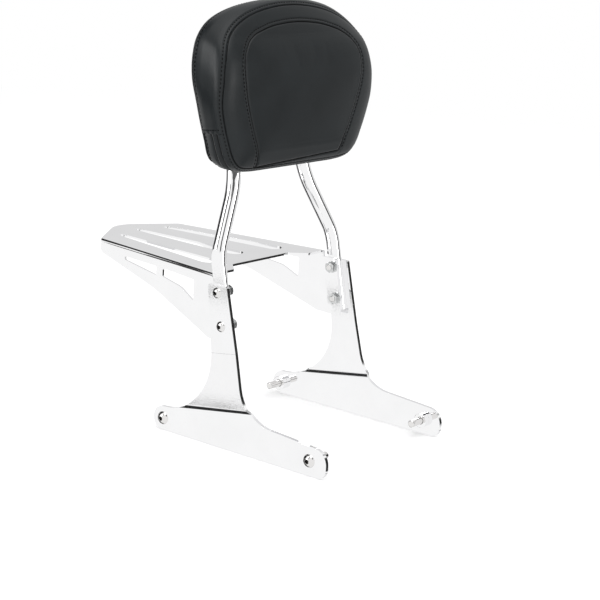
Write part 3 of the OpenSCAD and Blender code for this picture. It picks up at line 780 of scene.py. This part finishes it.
def stitch_rows(name, rows):
    """Lays copies of one stitch along rows of (point, normal)."""
    model = stitch()
    base = np.array([v.co for v in model.data.vertices])
    polys = [tuple(p.vertices) for p in model.data.polygons]
    bpy.data.objects.remove(model)
    points, faces = [], []
    for row in rows:
        run = 0.0
        for (p, n), (q, _) in zip(row[:-1], row[1:]):
            run += (q - p).length / MM
            if run < STITCH_PITCH:
                continue
            run -= STITCH_PITCH
            ahead = (q - p).normalized()
            side = n.cross(ahead).normalized()
            up = ahead.cross(side)
            turn = np.array([ahead, side, up]).T
            first = len(points)
            points.extend((turn @ base.T).T + np.array(q + n * STITCH_LIFT * MM))
            faces.extend(tuple(first + k for k in f) for f in polys)
    obj = mesh_piece(name, points, faces)
    return finish_piece(obj, THREAD_AND_SHADE)


def on_pad(point):
    """The nearest point of the pad's surface, and its normal."""
    return SURFACE.find_nearest(point)[:2]


def ring_row(offset, mark):
    """A row round the pad at a distance along the profile from a seam."""
    k = int(np.argmin(np.abs(pad_along - pad_marks[mark] - offset)))
    return [on_pad(at(*p)) for p in pad_shape[k]]


def met(hits):
    """The hits that did meet the pad."""
    return [h for h in hits if h[0] is not None]


def dense_row(row, closed=True):
    """The row with points every half millimetre. It breaks off where two points lie over 20 mm apart."""
    out = []
    n = len(row)
    for i in range(n if closed else n - 1):
        (p, a), (q, b) = row[i], row[(i + 1) % n]
        steps = max(1, int((q - p).length / (0.5 * MM)))
        if steps > 40:
            continue
        for t in range(steps):
            out.append((p.lerp(q, t / steps), a.lerp(b, t / steps).normalized()))
    return out


def offset_curve(curve, distance):
    """A flat curve moved sideways, away from the pad's middle."""
    t = np.gradient(curve, axis=0)
    n = np.stack([-t[:, 1], t[:, 0]], axis=1)
    n /= np.linalg.norm(n, axis=1)[:, None]
    if np.sum(n * (curve - [0, PAD_MIDDLE_Z])) < 0:
        n = -n
    return curve + n * distance


insert_row = met(front_point(x, z) for x, z in offset_curve(INSERT, INSERT_ROW)[4:-4])
hem_rows = [met(side_point(s, y, hem_height(y) + HEM) for y in np.arange(151, 201, 0.8)) for s in (1, -1)]
stitch_rows("stitching", [dense_row(ring_row(FRONT_ROW, 0)), dense_row(ring_row(REAR_ROW, 1)),
                          dense_row(insert_row, False), *[dense_row(r, False) for r in hem_rows]])

# Black lines in the seam grooves: they stand in for the thread and paint the shade in the grooves
for name, row, radius, closed in (
        ("front_seam", ring_row(0, 0), SEAM_R, True),
        ("rear_seam", ring_row(0, 1), SEAM_R, True),
        ("insert_seam", met(front_point(x, z) for x, z in INSERT[::3]), INSERT_SEAM_R, False),
        ("insert_bottom_seam", met(front_point(x, z) for x, z in BOTTOM_SEAM[::3]), INSERT_SEAM_R, False)):
    finish_piece(thread_path(name, [p for p, _ in row], radius, closed), THREAD_AND_SHADE)


def leg_mouth(name, s):
    """The turned-in hem round a leg where it enters the pad's underside."""
    r = MOUTH_R + 0.6
    points = []
    for k in range(40):
        a = 2 * math.pi * k / 40
        x, y = s * LEG_X + r * math.cos(a), LEG_Y + r * math.sin(a)
        points.append(on_pad(at(x, y, 352))[0])
    return finish_piece(thread_path(name, points, MOUTH_HEM_R, True), VINYL)


for name, s in (("leg_mouth_left", 1), ("leg_mouth_right", -1)):
    leg_mouth(name, s)


def slit_shade_strip(name, s, y, radius):
    """A dark strip down a slit or a fold of the gusset, below its hem, which paints the shade of its deep
    inside.
    """
    hits = met(side_point(s, y, z) for z in np.arange(356, hem_height(y) - 1, 1.5))
    return finish_piece(thread_path(name, [p for p, _ in hits], radius), THREAD_AND_SHADE)


# Dark strips that paint the shade in the slits and the folds of the gusset
for name, s in (("left", 1), ("right", -1)):
    slit_shade_strip("slit_" + name, s, SLIT_Y, SLIT_SHADE_R)
    slit_shade_strip("fold_" + name, s, FOLD_Y, FOLD_SHADE_R)


def plywood_material():
    """Bare plywood with long grain."""
    mat, nodes, links, shader = new_material("plywood")
    place = node(nodes, "ShaderNodeMapping", Scale=(3, 20, 40))
    links.new(object_coordinates(nodes), place.inputs["Vector"])
    grain = node(nodes, "ShaderNodeTexNoise", Scale=6.0, Detail=6.0)
    links.new(place.outputs["Vector"], grain.inputs["Vector"])
    shade(nodes, links, shader, grain.outputs["Fac"], (0.42, 0.28, 0.15), (0.66, 0.50, 0.32))
    shader.inputs["Roughness"].default_value = 0.7
    return mat


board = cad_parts["pad_board"]
board.data.materials.clear()
board.data.materials.append(plywood_material())

# Floor, light and camera

def floor():
    """A pale floor that takes the shadow and fades to white away from the part."""
    mat, nodes, links, shader = new_material("pale_floor")
    where = object_coordinates(nodes)
    far = node(nodes, "ShaderNodeVectorMath", operation="LENGTH")
    links.new(where, far.inputs[0])
    fade = node(nodes, "ShaderNodeMapRange",
                **{"From Min": 0.9, "From Max": 3.2, "To Min": 0.0, "To Max": 1.0})
    links.new(far.outputs["Value"], fade.inputs["Value"])
    cloud = node(nodes, "ShaderNodeTexNoise", Scale=3.0, Detail=2.0)
    links.new(where, cloud.inputs["Vector"])
    shade(nodes, links, shader, cloud.outputs["Fac"], (0.93, 0.93, 0.93), (0.95, 0.95, 0.95))
    shader.inputs["Roughness"].default_value = 0.9
    shader.inputs["Specular IOR Level"].default_value = 0.1
    glow = node(nodes, "ShaderNodeEmission", Strength=0.16)
    lifted = nodes.new("ShaderNodeAddShader")
    links.new(shader.outputs["BSDF"], lifted.inputs[0])
    links.new(glow.outputs["Emission"], lifted.inputs[1])
    white = node(nodes, "ShaderNodeEmission", Strength=1.0)
    mix = nodes.new("ShaderNodeMixShader")
    links.new(fade.outputs["Result"], mix.inputs["Fac"])
    links.new(lifted.outputs["Shader"], mix.inputs[1])
    links.new(white.outputs["Emission"], mix.inputs[2])
    links.new(mix.outputs["Shader"], nodes["Material Output"].inputs["Surface"])
    bpy.ops.mesh.primitive_circle_add(vertices=96, radius=6, fill_type="NGON", location=(0, 0, -0.0005))
    obj = settle(named("floor"))
    obj.data.materials.append(mat)
    obj.visible_glossy = False


# What shiny faces see, by the direction it lies in: middle azimuth, half width, middle elevation,
# half height, softness of the edge (all in degrees) and the card's level
CARDS = [
    (40, 50, 0, 60, 22, 0.80),          # pale grey far wall, on the rack's top
    (36, 22, 14, 14, 10, 0.74),         # its darker middle
    (100, 22, 52, 34, 3, 0.03),         # dark flag over the rack's folds
    (100, 16, -20, 60, 2.5, 0.03),      # dark seam on the left of the round bar
    (130, 8, -5, 6.2, 1.0, 0.04),       # dark strip on the left of the legs
    (143, 5, -13.7, 0.08, 0.05, 0.02),  # thin line on the side plates' slight bend
    (-44, 11, 0, 60, 3, 0.03),          # dark seam on the right of the round bar and the plates' edges
    (-22, 4, 0, 60, 2.5, 0.45),         # grey seam beside it
    (78, 26, -54, 16, 3, 0.03),         # dark floor strip on the joggle of the side plates
    (-120, 10, 45, 16, 3, 0.05),        # flags that give the screw heads their dark spots
    (165, 14, 42, 12, 3, 0.08),
]


def studio_world():
    """A white tent with cards in it. The cards show only in what shines."""
    world = bpy.data.worlds.new("studio")
    bpy.context.scene.world = world
    world.use_nodes = True
    nodes, links = world.node_tree.nodes, world.node_tree.links
    back = nodes["Background"]
    ray = nodes.new("ShaderNodeLightPath")
    split = nodes.new("ShaderNodeSeparateXYZ")
    links.new(nodes.new("ShaderNodeTexCoord").outputs["Generated"], split.inputs[0])

    def maths(operation, *values):
        n = node(nodes, "ShaderNodeMath", operation=operation)
        for socket, value in zip(n.inputs, values):
            if isinstance(value, (int, float)):
                socket.default_value = value
            else:
                links.new(value, socket)
        return n.outputs[0]

    azimuth = maths("ARCTAN2", split.outputs["Y"], split.outputs["X"])
    elevation = maths("ARCSINE", split.outputs["Z"])

    def inside(angle, middle, half, soft, wrap):
        """1 within half of the middle, falling to 0 over the soft edge."""
        off = maths("SUBTRACT", angle, math.radians(middle))
        if wrap:
            off = maths("WRAP", off, math.pi, -math.pi)
        left = maths("SUBTRACT", math.radians(half + soft / 2), maths("ABSOLUTE", off))
        share = node(nodes, "ShaderNodeMath", operation="DIVIDE", use_clamp=True)
        links.new(left, share.inputs[0])
        share.inputs[1].default_value = math.radians(soft)
        return share.outputs[0]

    colour = None
    for across, wide, up, tall, soft, level in CARDS:
        mask = maths("MULTIPLY", inside(azimuth, across, wide, soft, True),
                     inside(elevation, up, tall, soft, False))
        mix = node(nodes, "ShaderNodeMix", data_type="RGBA")
        links.new(mask, mix.inputs["Factor"])
        if colour:
            links.new(colour, mix.inputs["A"])
        else:
            mix.inputs["A"].default_value = (1, 1, 1, 1)
        mix.inputs["B"].default_value = (level, level, level * 1.005, 1)
        colour = mix.outputs["Result"]
    diffuse = node(nodes, "ShaderNodeMix", data_type="RGBA")
    links.new(ray.outputs["Is Glossy Ray"], diffuse.inputs["Factor"])
    diffuse.inputs["A"].default_value = (0.9, 0.9, 0.905, 1)
    links.new(colour, diffuse.inputs["B"])
    seen = node(nodes, "ShaderNodeMix", data_type="RGBA")
    links.new(ray.outputs["Is Camera Ray"], seen.inputs["Factor"])
    links.new(diffuse.outputs["Result"], seen.inputs["A"])
    seen.inputs["B"].default_value = (1, 1, 1, 1)
    links.new(seen.outputs["Result"], back.inputs["Color"])


def lamp(name, place, target, size, power):
    """A rectangular lamp that faces its target."""
    light = bpy.data.lights.new(name, "AREA")
    light.shape = "RECTANGLE"
    light.size, light.size_y = size
    light.energy = power
    obj = bpy.data.objects.new(name, light)
    bpy.context.scene.collection.objects.link(obj)
    obj.location = place
    obj.rotation_euler = (Vector(target) - Vector(place)).to_track_quat("-Z", "Y").to_euler()


# The camera's place in millimetres, and its directions to the right and to the back
CAMERA_PLACE = (-1824.7, -1238.8, 739.3)
CAMERA_RIGHT, CAMERA_BACK = (0.6105, -0.7893, 0.0651), (-0.7775, -0.5816, 0.2391)


def camera():
    """Looks along the photograph's line of sight, worked out from the part's own lines and screws."""
    right = Vector(CAMERA_RIGHT).normalized()
    back = Vector(CAMERA_BACK)
    back = (back - right * back.dot(right)).normalized()
    up = back.cross(right)
    cam = bpy.data.cameras.new("camera")
    cam.lens = 108
    cam.sensor_width = 36
    cam.clip_start = 0.05
    obj = bpy.data.objects.new("camera", cam)
    bpy.context.scene.collection.objects.link(obj)
    m = Matrix((right, up, back)).transposed().to_4x4()
    m.translation = at(*CAMERA_PLACE)
    obj.matrix_world = m
    bpy.context.scene.camera = obj


floor()
studio_world()
lamp("overhead", (-0.3, -0.4, 2.2), (0, 0, 0.2), (1.8, 1.8), 12)
lamp("left", (-1.7, 0.9, 1.1), (0, 0, 0.4), (0.5, 1.3), 12)
lamp("near", (0.79, -2.16, 0.65), (0, 0, 0.45), (0.2, 1.2), 5)
camera()
bpy.context.scene.view_settings.view_transform = "Standard"
